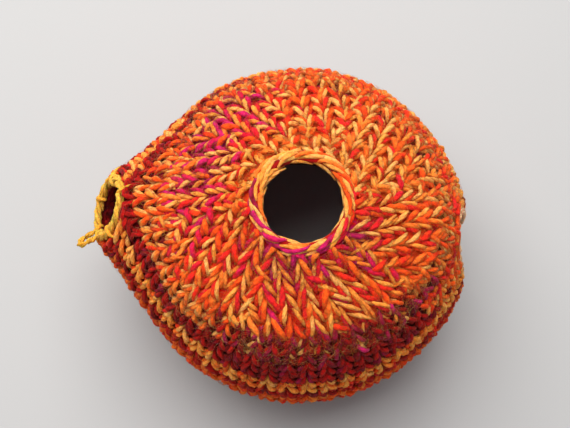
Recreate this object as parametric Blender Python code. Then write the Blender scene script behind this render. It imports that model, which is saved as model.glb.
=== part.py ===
"""Hand-knitted tea cosy: a hollow one-piece knitted body with a hem, a crown hole, an opening
drawn out to the left and a slit on the right, and three yarn edgings.

Run it with  blender --background --python part.py  or from Blender's text editor.
Metres, +Z up. The drawn-out opening faces -X, the slit faces +X. The origin is at the
middle of the bounding box, on the surface that the hem stands on.
"""
import math

import bmesh
import bpy
from mathutils import Vector

MM = 0.001

# Outer profile of the body, radius and height, from the hem up to the crown hole.
HEM_R = 54.0 * MM
BELLY_R = 74.5 * MM
BELLY_Z = 58.0 * MM
SHOULDER_R = 60.0 * MM
SHOULDER_Z = 99.5 * MM
CROWN_R = 22.5 * MM
CROWN_Z = 117.0 * MM
PROFILE = [
    (HEM_R, 0.0),
    (HEM_R + 7.0 * MM, 9.0 * MM),
    (BELLY_R - 5.7 * MM, 26.0 * MM),
    (BELLY_R - 0.8 * MM, 44.0 * MM),
    (BELLY_R, BELLY_Z),
    (BELLY_R - 1.9 * MM, 74.0 * MM),
    (BELLY_R - 6.7 * MM, 88.0 * MM),
    (SHOULDER_R, SHOULDER_Z),
    (SHOULDER_R - 10.0 * MM, 105.5 * MM),
    (38.0 * MM, 110.5 * MM),
    (28.0 * MM, 114.5 * MM),
    (CROWN_R, CROWN_Z),
]
PROFILE_STEPS = 24
THICKNESS = 4.5 * MM

# Hand knitting is a little uneven: waves round the body as (how many, height, phase), which die
# away towards the hem and the crown hole.
WAVES = [(3, 0.8 * MM, 2.0), (5, 0.4 * MM, 2.1)]
HEIGHT_WAVE = (2, 0.5 * MM, 0.4)
CALM_AT_HEM = 20.0 * MM
CALM_AT_CROWN = 14.0 * MM

# The crown is worked in sections, which swell along the ridge.
CROWN_SECTIONS = 8
SECTION_RISE = 0.9 * MM
SECTION_PHASE = 0.7
RIDGE_S = 110.0 * MM
RIDGE_WIDTH = 15.0 * MM

# The wall has 52 columns of V stitches. Each shows as two lines of legs, which are raised as ribs.
LEG_LINES = 104
RIB_HEIGHT = 0.55 * MM
RIB_CALM = 12.0 * MM
OUTER_STEPS = 2 * LEG_LINES
INNER_STEPS = 52

# Openings, given along the fabric from the hem (s) and across it.
SLIT_TOP_S = 98.0 * MM
OPENING_LOW_S = 56.0 * MM
SLIT_LOW_S = 24.0 * MM
SLIT_HALF_W = 16.5 * MM
SLIT_SQUARENESS = 2.6
SLIT_REACH = math.radians(52)
SLIT_EASE = 8.0 * MM

# Collar where the fabric is drawn out round the opening: a tilted oval.
COLLAR_X = -84.5 * MM
COLLAR_Z = 79.0 * MM
COLLAR_TILT = math.radians(25)
COLLAR_HALF_W = 16.5 * MM
COLLAR_HALF_H = 20.0 * MM
OPENING_REACH = math.radians(44)
NOSE_ROUND = 0.14
PULL_UNDER = 1.35
PULL_OVER = 1.6
OVER_LENGTH = 26.0 * MM
COLLAR_FORWARD = 0.75
COLLAR_INWARD = 0.65

# Edgings.
GAP = 0.3 * MM
OPENING_YARN_R = 2.1 * MM
OPENING_EASE = 0.52 * MM
SLIT_YARN_R = 1.6 * MM
RING_R = 19.1 * MM
RING_Z = 117.2 * MM
RING_YARN_R = 2.5 * MM
LOBE = 0.22 * MM
RING_WAVE = (3, 0.15 * MM, 0.0)
RING_RISE = (5, 0.2 * MM, 1.0)
YARN_SIDES = 10
THIN_YARN_SIDES = 8
LOOP_YARN_R = 1.3 * MM
LOOP_LENGTH = 10.0 * MM
LOOP_TURN = 0.61
LOOP_ROOT = 0.8 * MM
LOOP_ROOT_PHI = -math.radians(36)
LOOP_WIDTH = 0.32
LOOP_PEAR = 0.15
LOOP_LEAN = Vector((-0.86, -0.38, -0.33))
RING_STEPS, RING_TWIST = 72, 15
OPENING_STEPS, OPENING_TWIST = 80, 20
SLIT_STEPS, SLIT_TWIST = 112, 30
LOOP_STEPS = 28

# Small distances for telling which way the fabric faces, and for telling that two places are one.
PROBE_U = math.radians(2.5)
PROBE_S = 2.5 * MM
SMALL_U = 0.02
HALVINGS = 24
SAME = 1e-9


def catmull(points, steps):
    """A smooth polyline through the points."""
    out = []
    n = len(points)
    for i in range(n - 1):
        p0 = points[max(i - 1, 0)]
        p1 = points[i]
        p2 = points[i + 1]
        p3 = points[min(i + 2, n - 1)]
        for k in range(steps):
            t = k / steps
            out.append(
                tuple(
                    0.5
                    * (
                        2 * p1[a]
                        + (p2[a] - p0[a]) * t
                        + (2 * p0[a] - 5 * p1[a] + 4 * p2[a] - p3[a]) * t * t
                        + (3 * p1[a] - p0[a] - 3 * p2[a] + p3[a]) * t ** 3
                    )
                    for a in range(2)
                )
            )
    out.append(points[-1])
    return out


FINE = catmull(PROFILE, PROFILE_STEPS)
ARC = [0.0]
for a, b in zip(FINE, FINE[1:]):
    ARC.append(ARC[-1] + math.dist(a, b))
FABRIC = ARC[-1]


def profile(s):
    """Radius and height at the distance s along the fabric from the hem."""
    s = min(max(s, 0.0), FABRIC)
    low, high = 0, len(ARC) - 1
    while high - low > 1:
        mid = (low + high) // 2
        if ARC[mid] <= s:
            low = mid
        else:
            high = mid
    t = (s - ARC[low]) / (ARC[high] - ARC[low])
    a, b = FINE[low], FINE[high]
    return a[0] + (b[0] - a[0]) * t, a[1] + (b[1] - a[1]) * t


def smooth(t):
    t = min(max(t, 0.0), 1.0)
    return t * t * (3 - 2 * t)


def base(u, s):
    """The body without its openings: a turned profile, a little uneven like hand knitting."""
    r, z = profile(s)
    calm = smooth(s / CALM_AT_HEM) * smooth((FABRIC - s) / CALM_AT_CROWN)
    for count, height, phase in WAVES:
        r += calm * height * math.sin(count * u + phase)
    ridge = math.exp(-(((s - RIDGE_S) / RIDGE_WIDTH) ** 2))
    lift = SECTION_RISE * ridge * math.cos(CROWN_SECTIONS * u + SECTION_PHASE)
    count, height, phase = HEIGHT_WAVE
    r += calm * lift
    z += calm * (0.6 * lift + height * math.sin(count * u + phase))
    return Vector((r * math.cos(u), r * math.sin(u), z))


def collar(phi, side):
    """A point on the collar, phi from -90 degrees (lowest) to 90 (highest)."""
    up = math.sin(phi) * COLLAR_HALF_H
    return Vector(
        (
            COLLAR_X + math.sin(COLLAR_TILT) * up,
            side * math.cos(phi) * COLLAR_HALF_W,
            COLLAR_Z + math.cos(COLLAR_TILT) * up,
        )
    )


def collar_out(phi, side):
    """The way the fabric runs as it leaves the collar's edge."""
    plane = Vector((-math.cos(COLLAR_TILT), 0, math.sin(COLLAR_TILT)))
    away = (collar(phi, side) - Vector((COLLAR_X, 0, COLLAR_Z))).normalized()
    return (plane * COLLAR_FORWARD - away * COLLAR_INWARD).normalized()


def opening_pull(s, side):
    """How far the fabric on the opening's centre line is drawn out at s."""
    if s < OPENING_LOW_S:
        full = collar(-math.pi / 2, side) - base(math.pi, OPENING_LOW_S)
        return full * (s / OPENING_LOW_S) ** PULL_UNDER
    if s > SLIT_TOP_S:
        full = collar(math.pi / 2, side) - base(math.pi, SLIT_TOP_S)
        return full * max(0.0, 1 - (s - SLIT_TOP_S) / OVER_LENGTH) ** PULL_OVER
    t = (s - OPENING_LOW_S) / (SLIT_TOP_S - OPENING_LOW_S)
    return collar(-math.pi / 2 + math.pi * t, side) - base(math.pi, s)


def slit_half_width(s):
    """Half the width of the slit at s."""
    t = abs(2 * (s - SLIT_LOW_S) / (SLIT_TOP_S - SLIT_LOW_S) - 1)
    if t >= 1:
        return 0.0
    return SLIT_HALF_W * (1 - t ** SLIT_SQUARENESS) ** (1 / SLIT_SQUARENESS)


def outer(u, s, side):
    """Outer face of the fabric. u is 0 at the slit and pi at the opening, side 1 or -1 in Y."""
    x = min(u / SLIT_REACH, 1.0)
    turned = u + slit_half_width(s) / profile(s)[0] * (1 - x) ** 2
    p = base(side * turned, s)
    x = (math.pi - u) / OPENING_REACH
    inside = smooth((s - OPENING_LOW_S) / SLIT_EASE) * smooth((SLIT_TOP_S - s) / SLIT_EASE)
    nose = NOSE_ROUND * (1 - inside)
    x = math.hypot(x, nose)
    if x < 1:
        p += opening_pull(s, side) * ((1 - x) / (1 - nose)) ** 2
    return p


def normal(u, s, side):
    """Outward normal of the fabric, from points some millimetres apart."""
    a = outer(min(u + PROBE_U, math.pi), s, side) - outer(max(u - PROBE_U, 0), s, side)
    b = outer(u, min(s + PROBE_S, FABRIC), side) - outer(u, max(s - PROBE_S, 0), side)
    n = a.cross(b) * side
    return n.normalized()


def shell_point(u, s, side, depth, rib):
    """A point at the depth under the outer face, with the knitted columns on it."""
    n = normal(u, s, side)
    if u < SAME or u > math.pi - SAME:
        on_slit = (SLIT_LOW_S if u < 1 else OPENING_LOW_S) + SAME < s < SLIT_TOP_S - SAME
        if not on_slit:
            n = (n + normal(u, s, -side)).normalized()
            n.y = 0
    if s < SAME:
        n.z = 0
        n.normalize()
    p = outer(u, s, side) - n * depth
    p += n * rib
    if s < SAME:
        p.z = 0.0
    return p


# Rows of points: distance from the hem, and points round the outer face and the inner face. Rows lie
# at the ends of both slits, close together there and over the ridge, and the crown's get fewer.
ROW_PLACES = [0.0, 6 * MM, 15 * MM, SLIT_LOW_S, SLIT_LOW_S + 3.5 * MM]
ROW_PLACES += [SLIT_LOW_S + (OPENING_LOW_S - SLIT_LOW_S) * k / 3 for k in range(1, 4)]
ROW_PLACES += [OPENING_LOW_S + (SLIT_TOP_S - OPENING_LOW_S) * k / 6 for k in range(1, 7)]
ROW_PLACES += [SLIT_TOP_S - 3 * MM, 106 * MM, 113 * MM]
ROWS = [(s, OUTER_STEPS, INNER_STEPS) for s in sorted(ROW_PLACES)]
ROWS += [(s, OUTER_STEPS // 2, INNER_STEPS) for s in (121 * MM, 130 * MM)]
ROWS += [(s, OUTER_STEPS // 4, INNER_STEPS) for s in (139 * MM, FABRIC)]


def fabric_rows(bm, layer):
    """The rows of one face of the fabric, as (back half, front half) lists of points."""
    rows = []
    for s, many, few in ROWS:
        count = (many if layer == 0 else few) // 2
        halves = []
        for side in (1, -1):
            half = []
            for k in range(count + 1):
                u = math.pi * k / count
                rib = 0.0
                if layer == 0:
                    calm = smooth((FABRIC - s) / RIB_CALM)
                    rib = RIB_HEIGHT * calm * (1 if k % 2 else -1)
                depth = 0.0 if layer == 0 else THICKNESS
                half.append(shell_point(u, s, side, depth, rib))
            halves.append(half)
        back = [bm.verts.new(p) for p in halves[0]]
        front = [bm.verts.new(p) for p in halves[1]]
        if not SLIT_LOW_S + SAME < s < SLIT_TOP_S - SAME:
            back[0].co = (back[0].co + front[0].co) / 2
            bm.verts.remove(front[0])
            front[0] = back[0]
        if not OPENING_LOW_S + SAME < s < SLIT_TOP_S - SAME:
            back[-1].co = (back[-1].co + front[-1].co) / 2
            bm.verts.remove(front[-1])
            front[-1] = back[-1]
        rows.append((back, front))
    return rows


def between(bm, a, b):
    """Faces between two rows that run side by side and may differ in their number of points."""
    i = j = 0
    while i < len(a) - 1 or j < len(b) - 1:
        ta = (i + 1) / (len(a) - 1)
        tb = (j + 1) / (len(b) - 1)
        if len(a) == len(b):
            face = (a[i], a[i + 1], b[j + 1], b[j])
            i += 1
            j += 1
        elif ta <= tb + SAME and i < len(a) - 1:
            face = (a[i], a[i + 1], b[j])
            i += 1
        else:
            face = (a[i], b[j + 1], b[j])
            j += 1
        unique = list(dict.fromkeys(face))
        if len(unique) > 2:
            bm.faces.new(unique)


def make_body():
    bm = bmesh.new()
    rows_out = fabric_rows(bm, 0)
    rows_in = fabric_rows(bm, 1)
    for rows in (rows_out, rows_in):
        for low, high in zip(rows, rows[1:]):
            for half in (0, 1):
                between(bm, low[half], high[half])
    for end in (0, -1):
        for half in (0, 1):
            between(bm, rows_out[end][half], rows_in[end][half])
    for place in (0, -1):
        for half in (0, 1):
            edge_out = [row[half][place] for row in rows_out]
            edge_in = [row[half][place] for row in rows_in]
            other = [row[1 - half][place] for row in rows_out]
            for k in range(len(edge_out) - 1):
                free = edge_out[k] is not other[k] or edge_out[k + 1] is not other[k + 1]
                if free:
                    bm.faces.new((edge_out[k], edge_out[k + 1], edge_in[k + 1], edge_in[k]))
    bmesh.ops.recalc_face_normals(bm, faces=bm.faces)
    return bm


def tube(bm, path, radius, sides, lobes=0, twist=0.0, lobe=0.0):
    """A closed tube along a closed path, with twisted strands raised on it."""
    n = len(path)
    rings = []
    middle = sum(path, Vector()) / n
    for i, p in enumerate(path):
        t = (path[(i + 1) % n] - path[i - 1]).normalized()
        a = (p - middle)
        a = (a - t * a.dot(t)).normalized()
        b = t.cross(a)
        ring = []
        for k in range(sides):
            w = 2 * math.pi * k / sides
            r = radius + lobe * math.cos(lobes * w - twist * 2 * math.pi * i / n)
            ring.append(bm.verts.new(p + a * (r * math.cos(w)) + b * (r * math.sin(w))))
        rings.append(ring)
    for i in range(n):
        low, high = rings[i], rings[(i + 1) % n]
        for k in range(sides):
            m = (k + 1) % sides
            bm.faces.new((low[k], low[m], high[m], high[k]))
    bmesh.ops.recalc_face_normals(bm, faces=bm.faces)


def finish(name, bm, colour, roughness):
    mesh = bpy.data.meshes.new(name)
    bm.to_mesh(mesh)
    bm.free()
    mesh.shade_smooth()
    mesh.set_sharp_from_angle(angle=math.radians(40))
    ob = bpy.data.objects.new(name, mesh)
    bpy.context.collection.objects.link(ob)
    mat = bpy.data.materials.new(name)
    mat.use_nodes = True
    shader = mat.node_tree.nodes["Principled BSDF"]
    shader.inputs["Base Color"].default_value = (*colour, 1)
    shader.inputs["Roughness"].default_value = roughness
    shader.inputs["Metallic"].default_value = 0.0
    mesh.materials.append(mat)
    return ob


def make_ring():
    path = []
    for i in range(RING_STEPS):
        a = 2 * math.pi * i / RING_STEPS
        r = RING_R + RING_WAVE[1] * math.sin(RING_WAVE[0] * a + RING_WAVE[2])
        z = RING_Z + RING_RISE[1] * math.sin(RING_RISE[0] * a + RING_RISE[2])
        path.append(Vector((r * math.cos(a), r * math.sin(a), z)))
    bm = bmesh.new()
    tube(bm, path, RING_YARN_R, YARN_SIDES, lobes=3, twist=RING_TWIST, lobe=LOBE)
    return bm


def opening_edge_path(count):
    """Middle line of the yarn round the opening, just off the fabric's edge."""
    turns = [
        math.pi * ((s - OPENING_LOW_S) / (SLIT_TOP_S - OPENING_LOW_S) - 0.5)
        for s, many, few in ROWS
        if OPENING_LOW_S - SAME < s < SLIT_TOP_S + SAME
    ]
    path = []
    for i in range(count):
        a = 2 * math.pi * i / count
        side = 1 if math.cos(a) >= 0 else -1
        phi = math.asin(math.sin(a))
        k = max(k for k in range(len(turns) - 1) if turns[k] <= phi + SAME)
        t = (phi - turns[k]) / (turns[k + 1] - turns[k])
        p = collar(turns[k], side).lerp(collar(turns[k + 1], side), t)
        out = collar_out(phi, side)
        along = Vector(
            (
                math.sin(COLLAR_TILT) * math.cos(a) * COLLAR_HALF_H,
                -math.sin(a) * COLLAR_HALF_W,
                math.cos(COLLAR_TILT) * math.cos(a) * COLLAR_HALF_H,
            )
        ).normalized()
        n = out.cross(along).normalized()
        if n.dot(p - Vector((COLLAR_X, 0, COLLAR_Z))) < 0:
            n = -n
        path.append(p - n * THICKNESS * 0.5 + out * (OPENING_YARN_R + LOBE + GAP + OPENING_EASE))
    return path


def make_opening_edging():
    bm = bmesh.new()
    path = opening_edge_path(OPENING_STEPS)
    tube(bm, path, OPENING_YARN_R, YARN_SIDES, lobes=2, twist=OPENING_TWIST, lobe=LOBE)
    return bm, path


def loop_path(path):
    """The slack loop that hangs off the opening's edging at its lower front."""
    k = int(len(path) * LOOP_TURN)
    start = path[k] + collar_out(LOOP_ROOT_PHI, -1) * LOOP_ROOT
    across = (path[k + 1] - path[k - 1]).normalized()
    lean = (LOOP_LEAN - across * LOOP_LEAN.dot(across)).normalized()
    out = []
    for i in range(LOOP_STEPS):
        a = 2 * math.pi * i / LOOP_STEPS
        out.append(
            start
            + lean * (LOOP_LENGTH * 0.5 * (1 - math.cos(a)))
            + across * (LOOP_LENGTH * LOOP_WIDTH * math.sin(a) * (1 - LOOP_PEAR * math.cos(a)))
        )
    return out


def slit_outline():
    """The slit's edge in the fabric, as (across, along) points at the rows."""
    slit = [s for s, many, few in ROWS if SLIT_LOW_S - SAME < s < SLIT_TOP_S + SAME]
    right = [(slit_half_width(s), s) for s in slit]
    left = [(-w, s) for w, s in reversed(right[1:-1])]
    return right + left


def off_edge(point, outline):
    """Distance from a point in the fabric to the slit's edge."""
    best = 1.0
    for a, b in zip(outline, outline[1:] + outline[:1]):
        ab = (b[0] - a[0], b[1] - a[1])
        ap = (point[0] - a[0], point[1] - a[1])
        t = (ap[0] * ab[0] + ap[1] * ab[1]) / (ab[0] ** 2 + ab[1] ** 2)
        t = min(max(t, 0.0), 1.0)
        best = min(best, math.hypot(ap[0] - ab[0] * t, ap[1] - ab[1] * t))
    return best


def slit_edge_path(count):
    """Middle line of the chain along the slit's edge."""
    mid_s = (SLIT_LOW_S + SLIT_TOP_S) / 2
    half_s = (SLIT_TOP_S - SLIT_LOW_S) / 2
    outline = slit_outline()
    inset = SLIT_YARN_R + LOBE + GAP
    path = []
    for i in range(count):
        a = 2 * math.pi * i / count
        way = (SLIT_HALF_W * math.cos(a), half_s * math.sin(a))
        near, far = 0.0, 1.0
        for k in range(HALVINGS):
            mid = (near + far) / 2
            point = (way[0] * mid, mid_s + way[1] * mid)
            if off_edge(point, outline) > inset:
                near = mid
            else:
                far = mid
        y, s = way[0] * near, mid_s + way[1] * near
        u = y / profile(s)[0]
        across = base(u + SMALL_U, s) - base(u - SMALL_U, s)
        along = base(u, s + MM) - base(u, s - MM)
        n = across.cross(along).normalized()
        path.append(base(u, s) - n * THICKNESS * 0.5)
    return path


def make_slit_edging():
    bm = bmesh.new()
    path = slit_edge_path(SLIT_STEPS)
    tube(bm, path, SLIT_YARN_R, THIN_YARN_SIDES, lobes=2, twist=SLIT_TWIST, lobe=LOBE)
    return bm


def main():
    for ob in list(bpy.data.objects):
        bpy.data.objects.remove(ob)

    body = finish("cosy_body", make_body(), (0.78, 0.22, 0.06), 0.95)
    ring = finish("knob_ring", make_ring(), (0.80, 0.16, 0.14), 0.95)
    edge_bm, path = make_opening_edging()
    opening_edge = finish("spout_edging", edge_bm, (0.86, 0.52, 0.08), 0.95)
    slit_edge = finish("handle_edging", make_slit_edging(), (0.86, 0.55, 0.36), 0.95)

    loop_bm = bmesh.new()
    tube(loop_bm, loop_path(path), LOOP_YARN_R, THIN_YARN_SIDES)
    loop = finish("slack_loop", loop_bm, (0.86, 0.52, 0.08), 0.95)
    loop.hide_render = True
    loop.display_type = "WIRE"
    join = opening_edge.modifiers.new("slack loop", "BOOLEAN")
    join.operation = "UNION"
    join.solver = "EXACT"
    join.object = loop

    # The origin goes to the middle of the bounding box, at the height of the hem.
    depsgraph = bpy.context.evaluated_depsgraph_get()
    low, high = Vector((9, 9, 9)), Vector((-9, -9, -9))
    for ob in (body, ring, opening_edge, slit_edge):
        mesh = ob.evaluated_get(depsgraph).to_mesh()
        for v in mesh.vertices:
            low = Vector(map(min, low, v.co))
            high = Vector(map(max, high, v.co))
        ob.evaluated_get(depsgraph).to_mesh_clear()
    middle = (low + high) / 2
    for ob in (body, ring, opening_edge, slit_edge, loop):
        for v in ob.data.vertices:
            v.co.x -= middle.x
            v.co.y -= middle.y
    print("centre moved by (mm)", round(middle.x * 1000, 2), round(middle.y * 1000, 2))
    print("size (mm)", [round(c * 1000, 1) for c in high - low])
    bpy.context.view_layer.update()


main()
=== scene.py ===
# %% [markdown]
# # A hand-knitted tea cosy
# The cosy is a small dome of chunky knitting, a close cover that stands on its hem. It has a
# gathered hole in the crown, an opening drawn out to one side and a slit on the other. The packed
# solids give its true form. Here the same form is dressed in yarn: a thin knitted sheet, and on it
# every stitch of the right side as a V of two legs, each of them two strands of wool.

# %% Load the frame
import math

import bpy
import numpy as np
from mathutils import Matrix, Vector


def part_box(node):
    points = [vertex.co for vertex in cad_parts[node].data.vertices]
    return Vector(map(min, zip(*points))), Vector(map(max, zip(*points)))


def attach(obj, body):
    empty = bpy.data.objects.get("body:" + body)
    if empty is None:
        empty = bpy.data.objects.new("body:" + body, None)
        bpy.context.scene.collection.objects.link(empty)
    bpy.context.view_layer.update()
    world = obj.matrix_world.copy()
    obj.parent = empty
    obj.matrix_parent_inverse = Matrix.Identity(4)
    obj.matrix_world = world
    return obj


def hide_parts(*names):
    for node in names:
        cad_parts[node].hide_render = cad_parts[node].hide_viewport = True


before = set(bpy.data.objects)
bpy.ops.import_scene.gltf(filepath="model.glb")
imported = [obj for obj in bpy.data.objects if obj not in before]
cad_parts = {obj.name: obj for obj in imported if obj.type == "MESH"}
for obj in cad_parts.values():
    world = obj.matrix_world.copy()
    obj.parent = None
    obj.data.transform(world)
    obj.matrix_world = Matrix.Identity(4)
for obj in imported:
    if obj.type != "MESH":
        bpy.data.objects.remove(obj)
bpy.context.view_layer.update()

MM = 0.001

# %% [markdown]
# ## Where everything sits
# The wall is a turned shape, so all of it is measured from one upright line. The ring round the
# crown hole is centred on that line, so its box in the frame gives the line's place.

# %% The upright line through the body
ring_low, ring_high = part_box("knob_ring")
AXIS = np.array([(ring_low.x + ring_high.x) / 2, (ring_low.y + ring_high.y) / 2, 0.0])
print("axis (mm)", AXIS / MM)

# %% [markdown]
# ## Camera
# The photograph looks down steeply, so the camera stands high, a little to the right of the front.
# Two angles and a distance give its place, because they are easier to judge from a picture than a
# point in space is. It is aimed past the middle of the body, which puts the body right of the
# picture's centre.

# %% Camera
CAMERA_AZIMUTH = math.radians(5)
CAMERA_ELEVATION = math.radians(76)
CAMERA_DISTANCE = 0.568
LENS = 78.6
AIM_LEFT = 7.1 * MM
AIM_UP = 9.5 * MM
BODY_MIDDLE = Vector((AXIS[0], AXIS[1], 58 * MM))

back = Vector((
    math.sin(CAMERA_AZIMUTH) * math.cos(CAMERA_ELEVATION),
    -math.cos(CAMERA_AZIMUTH) * math.cos(CAMERA_ELEVATION),
    math.sin(CAMERA_ELEVATION),
))
right = Vector((math.cos(CAMERA_AZIMUTH), math.sin(CAMERA_AZIMUTH), 0))
aim = BODY_MIDDLE - right * AIM_LEFT + back.cross(right) * AIM_UP

camera = bpy.data.objects.new("camera", bpy.data.cameras.new("camera"))
bpy.context.scene.collection.objects.link(camera)
camera.data.lens = LENS
camera.location = aim + back * CAMERA_DISTANCE
camera.rotation_mode = "QUATERNION"
camera.rotation_quaternion = (-back).to_track_quat("-Z", "Y")
bpy.context.scene.camera = camera
bpy.context.scene.view_settings.view_transform = "Standard"
print("camera at (mm)", [round(c / MM) for c in camera.location])

# %% [markdown]
# ## Working by hand in a script
# An operator acts on all that is selected, so every step starts with nothing selected. The points
# of a mesh are read and written as one array. Moving them one at a time would do too, but a whole
# grid is bent onto a form here, and an array does that in one go.


# %% Small helpers
def deselect():
    """Nothing selected, and object mode."""
    if bpy.context.object and bpy.context.object.mode != "OBJECT":
        bpy.ops.object.mode_set(mode="OBJECT")
    bpy.ops.object.select_all(action="DESELECT")


def apply(piece, modifier):
    """Works a modifier into the mesh."""
    deselect()
    piece.select_set(True)
    bpy.context.view_layer.objects.active = piece
    bpy.ops.object.modifier_apply(modifier=modifier.name)


def points_of(piece):
    """The points of a mesh as an array."""
    points = np.zeros(len(piece.data.vertices) * 3)
    piece.data.vertices.foreach_get("co", points)
    return points.reshape(-1, 3)


def place_points(piece, points):
    """Moves the points of a mesh."""
    piece.data.vertices.foreach_set("co", points.ravel())
    piece.data.update()


# %% [markdown]
# ## Floor
# The cosy stands on pale paint, which takes its soft shadow. White would be brighter than anything
# in the photograph and would hide the shadow, so one large plane gets a light, slightly warm grey.

# %% Floor
FLOOR_SIDE = 4.0
FLOOR_GREY = (0.41, 0.407, 0.405, 1)

deselect()
bpy.ops.mesh.primitive_plane_add(size=FLOOR_SIDE, location=(0, 0, 0))
floor = bpy.context.object
floor.name = "floor"
paint = bpy.data.materials.new("floor_paint")
paint.use_nodes = True
paint_shader = paint.node_tree.nodes["Principled BSDF"]
paint_shader.inputs["Base Color"].default_value = FLOOR_GREY
paint_shader.inputs["Roughness"].default_value = 0.55
floor.data.materials.append(paint)
print("floor side (m)", FLOOR_SIDE)

# %% [markdown]
# ## Light
# The shadow in the photograph is soft and falls towards the viewer, so the light is a big window
# high up behind the cosy and a little to the left. A large light gives a soft shadow, so this is an
# area light much wider than the cosy. A weak second one and a dim room fill the shaded front.


# %% Light
def window(name, place, aimed_at, size, power, colour):
    """A square soft light aimed at a point."""
    light = bpy.data.objects.new(name, bpy.data.lights.new(name, "AREA"))
    light.data.size = size
    light.data.energy = power
    light.data.color = colour
    light.location = place
    light.rotation_mode = "QUATERNION"
    light.rotation_quaternion = (aimed_at - Vector(place)).to_track_quat("-Z", "Y")
    bpy.context.scene.collection.objects.link(light)
    return light


WINDOW_PLACE = (-0.24, 0.56, 1.25)
WINDOW_SIDE = 1.6
WINDOW_POWER = 38.5
WINDOW_COLOUR = (1.0, 0.985, 0.96)
BOUNCE_PLACE = (0.9, -0.5, 1.0)
BOUNCE_SIDE = 1.2
BOUNCE_POWER = 0.8
BOUNCE_COLOUR = (0.95, 0.97, 1.0)
ROOM_COLOUR = (0.93, 0.95, 1.0, 1)
ROOM_STRENGTH = 0.34

daylight = window("window", WINDOW_PLACE, BODY_MIDDLE, WINDOW_SIDE, WINDOW_POWER, WINDOW_COLOUR)
bounce = window("bounce", BOUNCE_PLACE, BODY_MIDDLE, BOUNCE_SIDE, BOUNCE_POWER, BOUNCE_COLOUR)
world = bpy.data.worlds.new("room")
bpy.context.scene.world = world
world.use_nodes = True
world.node_tree.nodes["Background"].inputs["Color"].default_value = ROOM_COLOUR
world.node_tree.nodes["Background"].inputs["Strength"].default_value = ROOM_STRENGTH
print("lights (W)", daylight.data.energy, round(bounce.data.energy, 1))

# %% [markdown]
# ## The turned profile
# Without its openings the cosy is a turned shape: one line from the hem over the belly to the crown
# hole, led round the upright line. It is the line that the solids have. A smooth curve through a
# dozen points gives it, and its length measures how far up the cloth a row of stitches lies.

# %% The turned profile
# Radius and height in millimetres, from the hem up.
PROFILE = MM * np.array([
    (54.0, 0.0), (61.0, 9.0), (68.8, 26.0), (73.7, 44.0), (74.5, 58.0), (72.6, 74.0),
    (67.8, 88.0), (60.0, 99.5), (50.0, 105.5), (38.0, 110.5), (28.0, 114.5), (22.5, 117.0),
])
SPAN_STEPS = 24


def smooth_line(points, steps):
    """A smooth line through the points, with that many steps between two of them."""
    padded_points = np.vstack([points[:1], points, points[-1:]])
    t = (np.arange(steps) / steps)[:, None]
    runs = []
    for p0, p1, p2, p3 in zip(padded_points, padded_points[1:], padded_points[2:], padded_points[3:]):
        bend = 2 * p0 - 5 * p1 + 4 * p2 - p3
        twist = 3 * p1 - p0 - 3 * p2 + p3
        runs.append(0.5 * (2 * p1 + (p2 - p0) * t + bend * t ** 2 + twist * t ** 3))
    return np.vstack(runs + [points[-1:]])


FINE = smooth_line(PROFILE, SPAN_STEPS)
ARC = np.append(0.0, np.cumsum(np.hypot(*np.diff(FINE, axis=0).T)))
FABRIC = ARC[-1]
BELLY = int(np.argmax(FINE[:, 0]))


def profile(s):
    """Radius and height at the distance s up the fabric from the hem."""
    return np.interp(s, ARC, FINE[:, 0]), np.interp(s, ARC, FINE[:, 1])


def up_the_fabric(r):
    """How far up the fabric the upper half of the body has the radius r."""
    return np.interp(r, FINE[BELLY:, 0][::-1], ARC[BELLY:][::-1])


print("fabric from hem to crown hole (mm)", round(FABRIC / MM, 1))

# %% [markdown]
# ## The body without its openings
# Knitting is never quite round, and the crown's eight sections stand up a little between their
# decrease lines. Noise could make it uneven, but the photograph shows long, slow waves, so a few
# sines round the body are added to the profile. They fade out at the hem and at the crown hole.


# %% The body without its openings
OUT_OF_ROUND = 0.8
OUT_OF_ROUND_FINE = 0.4
LEVEL_WANDER = 0.5 * MM
CALM_HEM = 20 * MM
CALM_HOLE = 14 * MM
CROWN_SECTIONS = 8
SECTION_RISE = 0.9 * MM
SECTION_S = 110 * MM
SECTION_SPREAD = 15 * MM


def smooth(t):
    """A soft step from 0 to 1."""
    t = np.clip(t, 0.0, 1.0)
    return t * t * (3 - 2 * t)


def unit(v):
    """Directions of length one."""
    return v / np.maximum(np.linalg.norm(v, axis=-1, keepdims=True), 1e-12)


def base(turn, s):
    """The body without its openings, at a turn round it and a distance s up the cloth."""
    r, z = profile(s)
    calm = smooth(s / CALM_HEM) * smooth((FABRIC - s) / CALM_HOLE)
    waves = OUT_OF_ROUND * np.sin(3 * turn + 2.0) + OUT_OF_ROUND_FINE * np.sin(5 * turn + 2.1)
    r = r + calm * MM * waves
    near = np.exp(-(((s - SECTION_S) / SECTION_SPREAD) ** 2))
    lift = SECTION_RISE * near * np.cos(CROWN_SECTIONS * turn + 0.7)
    r = r + calm * lift
    z = z + calm * (0.6 * lift + LEVEL_WANDER * np.sin(2 * turn + 0.4))
    return np.stack([r * np.cos(turn), r * np.sin(turn), z], axis=-1)


belly_front = base(np.array([-math.pi / 2]), ARC[BELLY:BELLY + 1])[0]
print("belly in front (mm)", np.round(belly_front / MM, 1))

# %% [markdown]
# ## The drawn-out opening
# On the left the cloth is drawn out to a tilted oval edge. The opening could be cut out of a
# finished dome, but then the rows of stitches would end at the cut. Here each place on the centre
# line is pulled to its own place on the oval, and the cloth above and below follows less and less.


# %% The drawn-out opening
OPENING_LOW_S = 56 * MM
SLIT_TOP_S = 98 * MM
COLLAR_X = -84.5 * MM
COLLAR_Z = 79.0 * MM
COLLAR_TILT = math.radians(25)
COLLAR_HALF_W = 16.5 * MM
COLLAR_HALF_H = 20.0 * MM
UNDER_POWER = 1.35
OVER_POWER = 1.6
OVER_FADE = 26 * MM


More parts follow.
